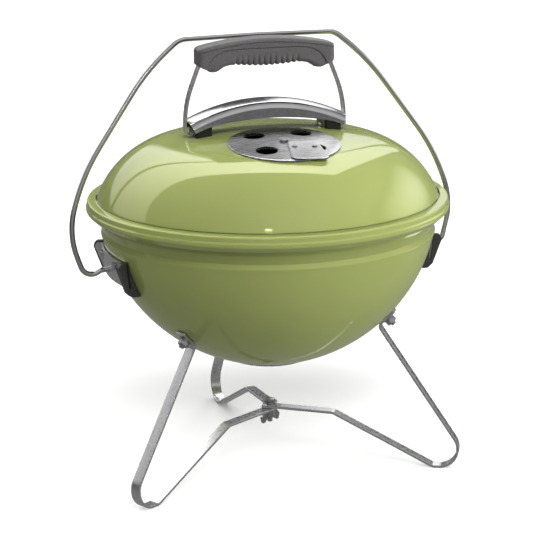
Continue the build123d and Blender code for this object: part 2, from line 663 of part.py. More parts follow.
# ---- grates --------------------------------------------------------------------
def grate(ring_radius, z, bars, cross_bars):
    """A ring with parallel bars across it and cross bars under them."""
    body = Pos(0, 0, z) * Torus(ring_radius, RING_ROD)
    pitch = 2 * ring_radius / (bars + 1)
    for index in range(bars):
        x = (index - (bars - 1) / 2) * pitch
        reach = sqrt(ring_radius ** 2 - x ** 2)
        body += bar((x, -reach, z), (x, reach, z), GRATE_ROD)
    for y in cross_bars:
        reach = sqrt((ring_radius - RING_ROD) ** 2 - y ** 2)
        body += bar((-reach, y, z - 2.4), (reach, y, z - 2.4), GRATE_ROD)
    return body


def main():
    os.makedirs("parts", exist_ok=True)
    save(bowl_shell(), "bowl_shell")
    for level, (name, direction) in enumerate(LEG_ANGLES.items()):
        save(leg(direction, HUB_Z + level * HUB_PITCH), name)
    directions = list(LEG_ANGLES.values())
    save(group([leg_bolt(direction) for direction in directions]), "leg_bolts")
    save(group([leg_washer(direction) for direction in directions]), "leg_washers")
    save(group([leg_nut(direction) for direction in directions]), "leg_nuts")
    washer, bolt = hub_parts()
    save(washer, "hub_washer")
    save(bolt, "hub_bolt")
    save(wing_nut(), "hub_wing_nut")

    right = right_bracket()
    save(right, "side_bracket_right")
    save(mirror(right, about=Plane.YZ), "side_bracket_left")
    for side, place in ((-1, "front"), (1, "rear")):
        pad = right_pad(side)
        save(pad, f"bracket_pad_right_{place}")
        save(mirror(pad, about=Plane.YZ), f"bracket_pad_left_{place}")
    save(group([bracket_rivet(spot) for spot in rivet_planes()]), "bracket_rivets")
    save(bail(), "bail")

    on_lid = Rot(0, 0, LID_TURN)
    save(on_lid * lid_shell(), "lid_shell")
    save(on_lid * vent_rivet(), "lid_vent_rivet")
    save(on_lid * vent_disc(), "lid_vent_disc")
    save(on_lid * vent_tab(), "lid_vent_tab")
    save(group([on_lid * rivet for rivet in tab_rivets()]), "lid_vent_tab_rivets")
    strap = handle_strap()
    save(on_lid * strap, "handle_strap")
    save(group([on_lid * bolt for bolt in handle_bolts()]), "handle_bolts")
    save(on_lid * foot_block(-1, strap), "handle_block_left")
    save(on_lid * foot_block(1, strap), "handle_block_right")
    save(on_lid * heat_shield(), "heat_shield")
    save(on_lid * grip_upper(strap), "grip_upper")
    save(on_lid * grip_insert(strap), "grip_insert")
    save(group([on_lid * screw for screw in grip_screws()]), "grip_screws")

    save(low_disc(), "bottom_vent_disc")
    save(low_rivet(), "bottom_vent_rivet")
    save(grate(COOKING_RING, COOKING_Z, COOKING_BARS, (-75.0, 75.0)), "cooking_grate")
    save(grate(CHARCOAL_RING, CHARCOAL_Z, CHARCOAL_BARS, (-60.0, 60.0)), "charcoal_grate")


main()
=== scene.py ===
"""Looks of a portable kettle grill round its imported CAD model. Metres, +Z up, +Y to the rear."""
from math import asin, atan2, ceil, cos, degrees, exp, hypot, pi, radians, sin, sqrt, tan

import bmesh
import bpy
from mathutils import Matrix, Vector


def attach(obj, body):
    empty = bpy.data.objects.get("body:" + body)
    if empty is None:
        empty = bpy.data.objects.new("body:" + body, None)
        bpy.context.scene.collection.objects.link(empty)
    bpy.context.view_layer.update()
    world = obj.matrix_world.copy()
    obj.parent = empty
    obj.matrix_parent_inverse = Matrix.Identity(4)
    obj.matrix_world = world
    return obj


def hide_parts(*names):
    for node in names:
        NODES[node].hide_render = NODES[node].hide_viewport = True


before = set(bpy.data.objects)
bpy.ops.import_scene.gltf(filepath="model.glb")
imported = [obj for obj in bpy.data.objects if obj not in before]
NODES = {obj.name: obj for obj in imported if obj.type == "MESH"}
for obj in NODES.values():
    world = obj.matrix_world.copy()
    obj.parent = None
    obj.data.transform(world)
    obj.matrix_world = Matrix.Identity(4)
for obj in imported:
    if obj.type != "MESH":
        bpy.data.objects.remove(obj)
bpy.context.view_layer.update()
MM = 0.001

# ---- sizes, in millimetres. BEAD, GROOVE and LID_BEAD are finer than in the CAD model ----
SHEET = 1.2
BOTTOM_RADIUS, BOTTOM_CENTRE_Z = 175.0, 286.0
BEAD_LOW_Z, BEAD, GROOVE = 247.0, (172.1, 252.4), (170.4, 257.4)
COLLAR_RADIUS, COLLAR_Z = 174.0, 266.5
RIM_ROLL_RADIUS, RIM_ROLL = 2.6, (176.2, 283.2)
LOW_VENT_RADIUS, LOW_VENT_PITCH_RADIUS, LOW_VENT_Z = 9.0, 27.0, 112.0
CROWN_Z, CROWN_RADIUS = 356.0, 591.0
CROWN_CENTRE_Z = CROWN_Z - CROWN_RADIUS
SIDE_ARC_RADIUS, SIDE_ARC_CENTRE = 95.0, (86.6, 253.5)
LID_WALL_END_Z = 288.3
FLANGE_INNER, FLANGE_OUTER = (176.8, 287.5), (184.7, 287.3)
LID_BEAD = [(185.2, 282.2), (186.3, 280.6), (186.3, 277.0)]
LID_EDGE = (181.0, 272.0)
LID_RIM_BENDS = [0.8, 0.8, 1.9, 0.8, 0.8, 3.2]
LID_TURN = radians(-3.0)
LEG_ANGLES = {"leg_front_left": 210.0, "leg_front_right": 330.0, "leg_rear": 90.0}
LEG_FOOT_X, LEG_KNEE, LEG_HUB_X = (220.5, 174.0), (68.0, 52.9), (12.0, -8.0)
LEG_BENDS = [4.0, 21.5, 11.0, 7.0, 6.0]
STRAP_WIDTH, STRAP_THICK, STRAP_GAP = 11.5, 2.8, 0.3
TAB_ANGLE, TAB_REACH = 45.0, 11.0
HUB_Z, HUB_PITCH = 52.0, 2.9
THREAD_RADIUS = 3.0
ROD_RADIUS, PIVOT_Z, BAIL_LEAN = 2.8, 223.0, 7.0
BAIL_END_X, BAIL_TOP, BAIL_TOP_BEND = 166.6, 226.6, 500.0
BAIL_CORNERS = [(178.0, 0.0), (193.5, -9.0), (208.7, 39.0), (189.8, 97.0), (119.4, 195.5), (83.0, 225.6)]
BAIL_BENDS = [10.0, 11.5, 80.0, 200.0, 220.0, 22.0]
HANDLE_Y, BLOCK_X = 6.5, 68.0
HANDLE_WIDTH, HANDLE_THICK = 10.0, 2.5
HANDLE_FOOT_X, HANDLE_RISE = (58.0, 85.2), [(84.6, 384.0), (66.5, 431.0)]
HANDLE_BENDS = [5.0, 110.0, 12.0]
SHIELD_AXIS_Z, SHIELD_CROWN = 198.0, 188.0
SHIELD_HALF_DEPTH, SHIELD_HALF_LENGTH, SHIELD_SIDE = 20.0, 79.0, 4.0
SHIELD_LIP_CENTRE_Z, SHIELD_LIP_RADIUS = 56.5, 312.0
DISC_RADIUS, DISC_THICK, DISC_OFFSET = 56.0, 1.5, 63.0
VENT_RADIUS, VENT_PITCH_RADIUS = 11.0, 34.5
VENT_TAB_WIDTH, VENT_TAB_LENGTH, VENT_TAB_CORNER = 38.0, 50.0, 8.0
VENT_TAB_THICK, VENT_TAB_TAPER = 1.2, 0.2
VENT_TAB_OFFSET, VENT_TAB_TURN, VENT_TAB_SKEW = 34.8, radians(22.4), radians(-27.8)
DISC_TILT = asin(DISC_OFFSET / CROWN_RADIUS)

ON_LID = Matrix.Rotation(LID_TURN, 4, "Z")
ON_HANDLE = ON_LID @ Matrix.Translation((0, HANDLE_Y * MM, 0))


# ---- mesh helpers -----------------------------------------------------------------
SHARP_ANGLE = radians(32.0)


def link(name, mesh_data):
    made = bpy.data.objects.new(name, mesh_data)
    bpy.context.scene.collection.objects.link(made)
    return made


def grid_mesh(rings, closed_ring=True, closed_run=False):
    """A mesh over rings of points in millimetres, with a UV map in metres along run and ring."""
    work = bmesh.new()
    rows = [[work.verts.new(Vector(point) * MM) for point in ring] for ring in rings]
    layer = work.loops.layers.uv.new("UVMap")
    count = len(rings[0])
    runs, rims = [0.0], [0.0]
    for before, after in zip(rings, rings[1:] + rings[:1]):
        runs.append(runs[-1] + (Vector(after[0]) - Vector(before[0])).length * MM)
    middle = rings[len(rings) // 2]
    for before, after in zip(middle, middle[1:] + middle[:1]):
        rims.append(rims[-1] + (Vector(after) - Vector(before)).length * MM)
    for i in range(len(rings) if closed_run else len(rings) - 1):
        for j in range(count if closed_ring else count - 1):
            this_row, next_row, beside = rows[i], rows[(i + 1) % len(rings)], (j + 1) % count
            face = work.faces.new([this_row[j], this_row[beside], next_row[beside], next_row[j]])
            for loop, (u, v) in zip(face.loops, ((i, j), (i, j + 1), (i + 1, j + 1), (i + 1, j))):
                loop[layer].uv = (runs[u], rims[v])
    if closed_ring and not closed_run:
        work.faces.new(rows[0][::-1])
        work.faces.new(rows[-1])
    bmesh.ops.remove_doubles(work, verts=work.verts, dist=1e-7)
    bmesh.ops.recalc_face_normals(work, faces=work.faces)
    data = bpy.data.meshes.new("grid")
    work.to_mesh(data)
    work.free()
    return data


def smooth(made, weighted):
    """Smooth shading with sharp edges kept, and flat faces left flat."""
    for face in made.data.polygons:
        face.use_smooth = True
    made.data.set_sharp_from_angle(angle=SHARP_ANGLE)
    if weighted:
        made.modifiers.new("normals", "WEIGHTED_NORMAL").keep_sharp = True


def piece(name, data, body, paint, replaces=(), place=None, weighted=True):
    """A finished piece: in place, shaded, painted, and riding on its body."""
    if place is not None:
        data.transform(place)
    made = link(name, data)
    smooth(made, weighted)
    for finish in paint if isinstance(paint, (list, tuple)) else [paint]:
        made.data.materials.append(finish)
    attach(made, body)
    if replaces:
        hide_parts(*replaces)
    return made


def arc_points(centre, radius, start, end, count):
    """Points on an arc in a plane, from one angle in degrees to another."""
    angles = [radians(start + (end - start) * i / count) for i in range(count + 1)]
    return [(centre[0] + radius * cos(a), centre[1] + radius * sin(a)) for a in angles]


def rounded_path(corners, radii, step=5.0):
    """A polyline whose inner corners are arcs."""
    points = [Vector(corners[0])]
    for before, corner, after, radius in zip(corners, corners[1:], corners[2:], radii):
        corner = Vector(corner)
        towards = (Vector(before) - corner).normalized()
        away = (Vector(after) - corner).normalized()
        half = towards.angle(away) / 2
        centre = corner + (towards + away).normalized() * radius / sin(half)
        start = corner + towards * radius / tan(half) - centre
        end = corner + away * radius / tan(half) - centre
        turn = start.angle(end) * (1 if start.x * end.y > start.y * end.x else -1)
        count = max(2, ceil(abs(degrees(turn)) / step))
        for i in range(count + 1):
            a = turn * i / count
            turned = (start.x * cos(a) - start.y * sin(a), start.x * sin(a) + start.y * cos(a))
            points.append(centre + Vector(turned))
    points.append(Vector(corners[-1]))
    return points


def subdivided(points, longest):
    """The same line with no step longer than a given length."""
    made = [Vector(points[0])]
    for before, after in zip(points, points[1:]):
        before, after = Vector(before), Vector(after)
        count = max(1, ceil((after - before).length / longest))
        made += [before.lerp(after, i / count) for i in range(1, count + 1)]
    return made


def bar_section(width, low, high, edge=0.55, inset=0.0, steps=3):
    """A flat bar's rounded section as (offset from the path, across) pairs."""
    side = width / 2
    points = []
    for offset, across, start in ((low, -side, 180), (high, -side, 270), (high, side, 0), (low, side, 90)):
        centre = (offset + (edge if offset == low else -edge), across + (edge if across < 0 else -edge))
        points += arc_points(centre, edge - inset, start, start + 90, steps)
    return points


def rod_section(radius, inset=0.0, steps=20):
    return arc_points((0, 0), radius - inset, 0, 360 - 360 / steps, steps - 1)


def swept(path, section, edge=0.5):
    """Sweeps section(inset) along a path in the local XZ plane; across is local Y. Ends are eased."""
    def direction(i):
        before, after = path[max(0, i - 1)], path[min(len(path) - 1, i + 1)]
        return (after - before).normalized()

    rings = []
    last = len(path) - 1
    for i, point in enumerate(path):
        along = direction(i)
        normal = Vector((-along.y, along.x))
        stretch = 1.0
        if 0 < i < last:
            turn = (point - path[i - 1]).angle(path[i + 1] - point)
            stretch = 1 / cos(turn / 2)
        ends = {0: (1, 0), last: (0, 1)}.get(i, (0, 0))
        layers = [(edge, 0.0)] if ends == (0, 0) else [(0.0, edge), (edge, 0.0)]
        if ends == (0, 1):
            layers = layers[::-1]
        for shift, inset in layers:
            move = along * (shift if ends[0] else -shift) if ends != (0, 0) else Vector((0, 0))
            ring = []
            for offset, across in section(inset):
                spot = point + move + normal * offset * stretch
                ring.append((spot.x, across, spot.y))
            rings.append(ring)
    return grid_mesh(rings)


def lathe(profile, steps=256):
    """Turns a profile of (radius, height) about Z."""
    rings = []
    for i in range(steps):
        a = 2 * pi * i / steps
        rings.append([(radius * cos(a), radius * sin(a), z) for radius, z in profile])
    return grid_mesh(rings, closed_run=True)


def merged(*meshes):
    """One mesh made of several."""
    work = bmesh.new()
    for data in meshes:
        work.from_mesh(data)
    made = bpy.data.meshes.new("merged")
    work.to_mesh(made)
    work.free()
    return made


def copies(data, places):
    """One mesh made of a mesh at several places."""
    placed = []
    for place in places:
        placed.append(data.copy())
        placed[-1].transform(place)
    return merged(*placed)


def four_holes(place, pitch_radius, height, radius, depth):
    """Four holes round a frame's Z axis, as drilled() takes them."""
    holes = []
    for i in range(4):
        a = radians(45 + 90 * i)
        spot = Matrix.Translation((pitch_radius * MM * cos(a), pitch_radius * MM * sin(a), height * MM))
        holes.append((place @ spot, radius, depth))
    return holes


def drilled(data, holes):
    """Cuts round holes through a mesh. Each hole is (matrix, radius, depth) in millimetres."""
    target = link("drilled", data)
    for place, radius, depth in holes:
        work = bmesh.new()
        bmesh.ops.create_cone(work, cap_ends=True, segments=64, radius1=radius * MM,
                              radius2=radius * MM, depth=depth * MM)
        cutter_data = bpy.data.meshes.new("cutter")
        work.to_mesh(cutter_data)
        work.free()
        cutter_data.transform(place)
        cutter = link("cutter", cutter_data)
        cut = target.modifiers.new("cut", "BOOLEAN")
        cut.operation, cut.solver, cut.object = "DIFFERENCE", "EXACT", cutter
        bpy.context.view_layer.update()
        graph = bpy.context.evaluated_depsgraph_get()
        result = bpy.data.meshes.new_from_object(target.evaluated_get(graph))
        target.modifiers.clear()
        target.data = result
        bpy.data.objects.remove(cutter)
    result = target.data
    bpy.data.objects.remove(target)
    return result


def offset_profile(points, distance):
    """A profile moved sideways to its left by a distance."""
    moved = []
    for i, point in enumerate(points):
        before, after = points[max(0, i - 1)], points[min(len(points) - 1, i + 1)]
        along = (Vector(after) - Vector(before)).normalized()
        moved.append((point[0] - along.y * distance, point[1] + along.x * distance))
    return moved


def catmull(points, x):
    """A smooth curve through (x, value) points, even about x = 0."""
    x = min(abs(x), points[-1][0])
    first, last = (-points[1][0], points[1][1]), (2 * points[-1][0] - points[-2][0], points[-1][1])
    knots = [first, *points, last]
    for (x0, v0), (x1, v1), (x2, v2), (x3, v3) in zip(knots, knots[1:], knots[2:], knots[3:]):
        if x1 <= x <= x2:
            t = (x - x1) / (x2 - x1)
            m1 = (v2 - v0) / (x2 - x0) * (x2 - x1)
            m2 = (v3 - v1) / (x3 - x1) * (x2 - x1)
            return ((2 * t ** 3 - 3 * t ** 2 + 1) * v1 + (t ** 3 - 2 * t ** 2 + t) * m1
                    + (3 * t ** 2 - 2 * t ** 3) * v2 + (t ** 3 - t ** 2) * m2)
    return points[-1][1]


# ---- materials ----------------------------------------------------------------------
NOISE_ROUGHNESS = 0.55


def new_material(name, **values):
    """A Principled material; an underscore in a key stands for a space in the input's name."""
    made = bpy.data.materials.new(name)
    made.use_nodes = True
    shader = made.node_tree.nodes["Principled BSDF"]
    for key, value in values.items():
        shader.inputs[key.replace("_", " ")].default_value = value
    return made, made.node_tree, shader


def noise(tree, scale, detail=3.0, stretch=(1, 1, 1), source="Object"):
    """A noise factor over a texture coordinate, squeezed along its axes."""
    place = tree.nodes.new("ShaderNodeTexCoord")
    squeeze = tree.nodes.new("ShaderNodeMapping")
    squeeze.inputs["Scale"].default_value = stretch
    made = tree.nodes.new("ShaderNodeTexNoise")
    made.inputs["Scale"].default_value = scale
    made.inputs["Detail"].default_value = detail
    made.inputs["Roughness"].default_value = NOISE_ROUGHNESS
    tree.links.new(place.outputs[source], squeeze.inputs["Vector"])
    tree.links.new(squeeze.outputs["Vector"], made.inputs["Vector"])
    return made.outputs["Fac"]


def ramp(tree, source, stops):
    """Maps a factor to colours or greys."""
    made = tree.nodes.new("ShaderNodeValToRGB")
    band = made.color_ramp
    while len(band.elements) < len(stops):
        band.elements.new(0.5)
    for element, (place, value) in zip(band.elements, stops):
        element.position = place
        element.color = (value, value, value, 1) if isinstance(value, float) else (*value, 1)
    tree.links.new(source, made.inputs["Fac"])
    return made.outputs["Color"]


def add_bump(tree, shader, layers):
    """Chains height layers of (source, strength, distance) into the shader's normal."""
    below = None
    for source, strength, distance in layers:
        made = tree.nodes.new("ShaderNodeBump")
        made.inputs["Strength"].default_value = strength
        made.inputs["Distance"].default_value = distance
        tree.links.new(source, made.inputs["Height"])
        if below is not None:
            tree.links.new(below, made.inputs["Normal"])
        below = made.outputs["Normal"]
    tree.links.new(below, shader.inputs["Normal"])


def math_node(tree, operation, *values):
    made = tree.nodes.new("ShaderNodeMath")
    made.operation = operation
    for place, value in enumerate(values):
        if isinstance(value, (int, float)):
            made.inputs[place].default_value = value
        else:
            tree.links.new(value, made.inputs[place])
    return made.outputs[0]


def clamped(tree, value):
    """A value held between 0 and 1."""
    made = tree.nodes.new("ShaderNodeClamp")
    tree.links.new(value, made.inputs["Value"])
    return made.outputs["Result"]


def coordinates(tree, source="Object"):
    """A texture coordinate's X, Y and Z."""
    place = tree.nodes.new("ShaderNodeTexCoord")
    apart = tree.nodes.new("ShaderNodeSeparateXYZ")
    tree.links.new(place.outputs[source], apart.inputs["Vector"])
    return apart.outputs


def glowing_material(name):
    """A material that only glows, as (material, node tree, emission node)."""
    made = bpy.data.materials.new(name)
    made.use_nodes = True
    tree = made.node_tree
    tree.nodes.clear()
    glow = tree.nodes.new("ShaderNodeEmission")
    output = tree.nodes.new("ShaderNodeOutputMaterial")
    tree.links.new(glow.outputs["Emission"], output.inputs["Surface"])
    return made, tree, glow


def enamel(name, light, dark, gloss=(1.0, 1.0, 1.0)):
    """Fired enamel: deep gloss, a trace of orange peel, and a slight drift of colour.

    gloss tints the reflections, which real enamel doesn't do. The green's matches the photo.
    """
    made, tree, shader = new_material(name, IOR=1.6)
    shader.inputs["Specular Tint"].default_value = (*gloss, 1.0)
    drift = noise(tree, 9.0, 2.0)
    tree.links.new(ramp(tree, drift, [(0.3, dark), (0.7, light)]), shader.inputs["Base Color"])
    tree.links.new(ramp(tree, noise(tree, 160.0, 2.0), [(0.3, 0.045), (0.7, 0.085)]),
                   shader.inputs["Roughness"])
    add_bump(tree, shader, [(noise(tree, 220.0, 1.5), 0.035, 0.0003)])
    return made


def plated_bar(name, light, dark, roughness, source="UV"):
    """Plated flat bar or sheet with rolling streaks along its length and fine scuffs."""
    made, tree, shader = new_material(name, Metallic=1.0)
    streaks = noise(tree, 60.0, 4.0, (0.35, 12.0, 1.0) if source == "UV" else (1, 1, 1), source)
    tree.links.new(ramp(tree, streaks, [(0.25, dark), (0.75, light)]), shader.inputs["Base Color"])
    scuffs = noise(tree, 240.0, 5.0, source="Object")
    tree.links.new(ramp(tree, scuffs, [(0.3, roughness - 0.06), (0.75, roughness + 0.1)]),
                   shader.inputs["Roughness"])
    add_bump(tree, shader, [(streaks, 0.12, 0.00008), (scuffs, 0.06, 0.00005)])
    return made


def brushed_aluminium(name):
    """Brushed sheet with faint dents."""
    made, tree, shader = new_material(name, Metallic=1.0)
    lines = noise(tree, 90.0, 5.0, (0.6, 14.0, 1.0))
    tree.links.new(ramp(tree, lines, [(0.2, (0.34, 0.335, 0.345)), (0.8, (0.60, 0.59, 0.605))]),
                   shader.inputs["Base Color"])
    tree.links.new(ramp(tree, lines, [(0.2, 0.20), (0.8, 0.34)]), shader.inputs["Roughness"])
    dents = noise(tree, 170.0, 2.5)
    add_bump(tree, shader, [(dents, 0.35, 0.0006), (lines, 0.3, 0.00008)])
    return made


def moulded_plastic(name, light, dark, roughness, grain):
    """Moulded nylon with a fine spark-eroded grain."""
    made, tree, shader = new_material(name, IOR=1.5)
    speckle = noise(tree, grain, 4.0)
    tree.links.new(ramp(tree, speckle, [(0.3, dark), (0.7, light)]), shader.inputs["Base Color"])
    patches = noise(tree, grain / 8, 2.0)
    tree.links.new(ramp(tree, patches, [(0.3, roughness - 0.05), (0.7, roughness + 0.07)]),
                   shader.inputs["Roughness"])
    add_bump(tree, shader, [(speckle, 0.35, 0.00025)])
    return made


GREEN = enamel("enamel_green", (0.325, 0.372, 0.118), (0.305, 0.352, 0.108), (1.0, 0.97, 0.62))
BLACK_ENAMEL = enamel("enamel_black", (0.014, 0.014, 0.015), (0.010, 0.010, 0.011))
BAR = plated_bar("plated_bar", (0.66, 0.66, 0.67), (0.52, 0.52, 0.53), 0.28)
SHEET_METAL = plated_bar("plated_sheet", (0.62, 0.62, 0.63), (0.50, 0.50, 0.51), 0.32, "Object")
WIRE = plated_bar("chrome_wire", (0.50, 0.50, 0.51), (0.40, 0.40, 0.41), 0.12)
GRATE = plated_bar("grate_wire", (0.58, 0.57, 0.56), (0.46, 0.46, 0.45), 0.24, "Object")
SHIELD = plated_bar("shield_steel", (0.50, 0.50, 0.51), (0.42, 0.42, 0.43), 0.14, "Object")
ZINC = plated_bar("zinc_fastener", (0.46, 0.46, 0.47), (0.30, 0.30, 0.31), 0.30, "Object")
ALUMINIUM = brushed_aluminium("damper_aluminium")
GRIP = moulded_plastic("grip_nylon", (0.125, 0.118, 0.121), (0.065, 0.061, 0.063), 0.50, 850.0)
PAD = moulded_plastic("pad_nylon", (0.050, 0.048, 0.050), (0.026, 0.025, 0.026), 0.42, 700.0)
BLACK = moulded_plastic("black_nylon", (0.008, 0.008, 0.009), (0.004, 0.004, 0.0045), 0.38, 700.0)


# ---- bowl ------------------------------------------------------------------------------
def bowl_profile():
    rise = degrees(asin((BOTTOM_CENTRE_Z - BEAD_LOW_Z) / BOTTOM_RADIUS))
    outside = arc_points((0, BOTTOM_CENTRE_Z), BOTTOM_RADIUS, -90, -rise, 100)
    collar = rounded_path([outside[-2], outside[-1], BEAD, GROOVE, (COLLAR_RADIUS, COLLAR_Z),
                           (COLLAR_RADIUS, RIM_ROLL[1] - 2.0)], [9.0, 3.5, 1.2, 3.0])
    outside += [tuple(point) for point in collar[2:]]
    inside = offset_profile(outside, SHEET)
    roll = arc_points(RIM_ROLL, RIM_ROLL_RADIUS, -130, 190, 24)
    inside[0] = (0.0, inside[0][1])
    return outside + roll + inside[::-1]


def two_tone(data, is_inside):
    """Puts the faces for which is_inside(face) holds on the second material."""
    for face in data.polygons:
        face.material_index = 1 if is_inside(face) else 0


BOWL_FLOOR_RADIUS = 150.0     # within it, every face above the sheet is inside


def bowl_inside(face):
    centre = face.center / MM
    radius = hypot(centre.x, centre.y)
    towards_axis = face.normal.x * centre.x + face.normal.y * centre.y < 0 or radius < 1
    over_sheet = hypot(radius, centre.z - BOTTOM_CENTRE_Z) < BOTTOM_RADIUS - SHEET / 2
    return (towards_axis or radius < BOWL_FLOOR_RADIUS) and over_sheet and face.normal.z > -0.2


def make_bowl():
    vents = four_holes(Matrix.Identity(4), LOW_VENT_PITCH_RADIUS, LOW_VENT_Z, LOW_VENT_RADIUS, 30.0)
    data = drilled(lathe(bowl_profile()), vents)
    two_tone(data, bowl_inside)
    piece("bowl", data, "root", [GREEN, BLACK_ENAMEL], ["bowl_shell"], weighted=False)


# ---- lid -------------------------------------------------------------------------------
def lid_profile():
    side_x, side_z = SIDE_ARC_CENTRE
    meet = degrees(atan2(side_z - CROWN_CENTRE_Z, side_x))
    low = degrees(asin((LID_WALL_END_Z - side_z) / SIDE_ARC_RADIUS))
    outside = arc_points((0, CROWN_CENTRE_Z), CROWN_RADIUS, 90, meet, 40)
    outside += arc_points(SIDE_ARC_CENTRE, SIDE_ARC_RADIUS, meet, low, 64)[1:]
    rim = rounded_path([outside[-2], outside[-1], FLANGE_INNER, FLANGE_OUTER, *LID_BEAD, LID_EDGE],
                       LID_RIM_BENDS)
    outside += [tuple(point) for point in rim[1:]]
    inside = offset_profile(outside, -SHEET)
    inside[0] = (0.0, inside[0][1])
    return outside + inside[::-1]


def vent_matrix():
    """From a frame at the crown's centre, with the disc's axis up, to the lid."""
    lift = Matrix.Translation((0, 0, CROWN_CENTRE_Z * MM))
    return ON_LID @ lift @ Matrix.Rotation(DISC_TILT, 4, "X")


def lid_vents():
    """The holes that the lid and its disc share."""
    return four_holes(vent_matrix(), VENT_PITCH_RADIUS, CROWN_RADIUS, VENT_RADIUS, 20.0)


LID_MOUTH_RADIUS = 176.0      # the rim outside it is green all round


def lid_inside(face):
    centre = face.center / MM
    radius = hypot(centre.x, centre.y)
    if radius > LID_MOUTH_RADIUS:
        return False
    outwards = face.normal.x * centre.x + face.normal.y * centre.y
    return face.normal.z < 0 or (radius > 1 and outwards < -0.3 * radius)


def make_lid():
    data = drilled(lathe(lid_profile()), lid_vents())
    two_tone(data, lid_inside)
    piece("lid", data, "lid", [GREEN, BLACK_ENAMEL], ["lid_shell"], weighted=False)


# ---- lid vent --------------------------------------------------------------------------
def make_vent_disc():
    low = CROWN_RADIUS + STRAP_GAP
    high = low + DISC_THICK
    reach = degrees(asin(DISC_RADIUS / high))
    top = arc_points((0, 0), high, 90, 90 - reach, 30)[:-1]
    under = arc_points((0, 0), low, 90 - reach, 90, 30)[1:]
    edge_high, edge_low = sqrt(high ** 2 - DISC_RADIUS ** 2), sqrt(low ** 2 - DISC_RADIUS ** 2)
    eased = [(DISC_RADIUS - 0.4, edge_high + 0.04), (DISC_RADIUS - 0.1, edge_high - 0.1),
             (DISC_RADIUS, edge_high - 0.45), (DISC_RADIUS, edge_low + 0.3)]
    data = lathe(top + eased + under, 192)
    data.transform(vent_matrix())
    data = drilled(data, lid_vents())
    piece("vent_disc", data, "lid_vent", ALUMINIUM, ["lid_vent_disc"], weighted=False)


def rounded_rectangle(width, length, corner, inset=0.0, steps=8):
    points = []
    for sx, sy, start in ((1, 1, 0), (-1, 1, 90), (-1, -1, 180), (1, -1, 270)):
        centre = (sx * (width / 2 - corner), sy * (length / 2 - corner))
        points += arc_points(centre, corner - inset, start, start + 90, steps)
    return points


def stacked_outline(levels, outline):
    """A closed solid from an outline at several (inset, height) levels."""
    return grid_mesh([[(x, y, z) for x, y in outline(inset)] for inset, z in levels])


def tab_outline(inset):
    """The tab seen from above: narrower towards the disc's middle."""
    points = rounded_rectangle(VENT_TAB_WIDTH, VENT_TAB_LENGTH, VENT_TAB_CORNER, inset)
    return [(x * (1 - VENT_TAB_TAPER * (0.5 + y / VENT_TAB_LENGTH)), y) for x, y in points]


def make_vent_tab():
    thick = VENT_TAB_THICK
    height = CROWN_RADIUS + STRAP_GAP + DISC_THICK + 0.05
    place = (vent_matrix() @ Matrix.Rotation(VENT_TAB_TURN, 4, "Z")
             @ Matrix.Rotation(VENT_TAB_OFFSET / CROWN_RADIUS, 4, "X")
             @ Matrix.Translation((0, 0, height * MM)) @ Matrix.Rotation(VENT_TAB_SKEW, 4, "Z"))
    levels = [(0.5, 0.0), (0.0, 0.35), (0.0, thick - 0.45), (0.15, thick - 0.15), (0.5, thick), (1.6, thick)]
    data = stacked_outline(levels, tab_outline)
    piece("vent_tab", data, "lid_vent", ALUMINIUM, ["lid_vent_tab"], place)


# ---- handle ----------------------------------------------------------------------------
def seat_z(x):
    """Height of the handle strap's seat on the lid's crown."""
    slope = -BLOCK_X / (sqrt(CROWN_RADIUS ** 2 - BLOCK_X ** 2))
    middle = CROWN_CENTRE_Z + sqrt(CROWN_RADIUS ** 2 - BLOCK_X ** 2 - HANDLE_Y ** 2) + STRAP_GAP
    return middle + slope * (abs(x) - BLOCK_X)


def make_handle_strap():
    right = [(x, seat_z(x)) for x in HANDLE_FOOT_X] + HANDLE_RISE
    left = [(-x, z) for x, z in reversed(right)]
    path = subdivided(rounded_path(right + left, HANDLE_BENDS + HANDLE_BENDS[::-1]), 4.0)
    data = swept(path, lambda inset: bar_section(HANDLE_WIDTH, 0.0, HANDLE_THICK, inset=inset))
    piece("handle_strap_bar", data, "lid", BAR, ["handle_strap"], ON_HANDLE)


def shield_section():
    """The shield's outside across its depth, as (y, height over the arch's axis)."""
    half, camber, shoulder, ease, brink = SHIELD_HALF_DEPTH, 60.0, 8.95, 13.0, 72.0
    top = arc_points((0, SHIELD_CROWN - camber), camber, 90, 90 - ease, 8)
    turn = (top[-1][0] - shoulder * sin(radians(ease)), top[-1][1] - shoulder * cos(radians(ease)))
    bend = arc_points(turn, shoulder, 90 - ease, 90 - brink, 14)[1:]
    corner = rounded_path([bend[-2], (half, bend[-1][1] - 0.2), (half, bend[-1][1] - SHIELD_SIDE)], [0.5])
    right = top + bend[:-1] + [tuple(point) for point in corner[1:]]
    return [(-y, w) for y, w in reversed(right[1:])] + right


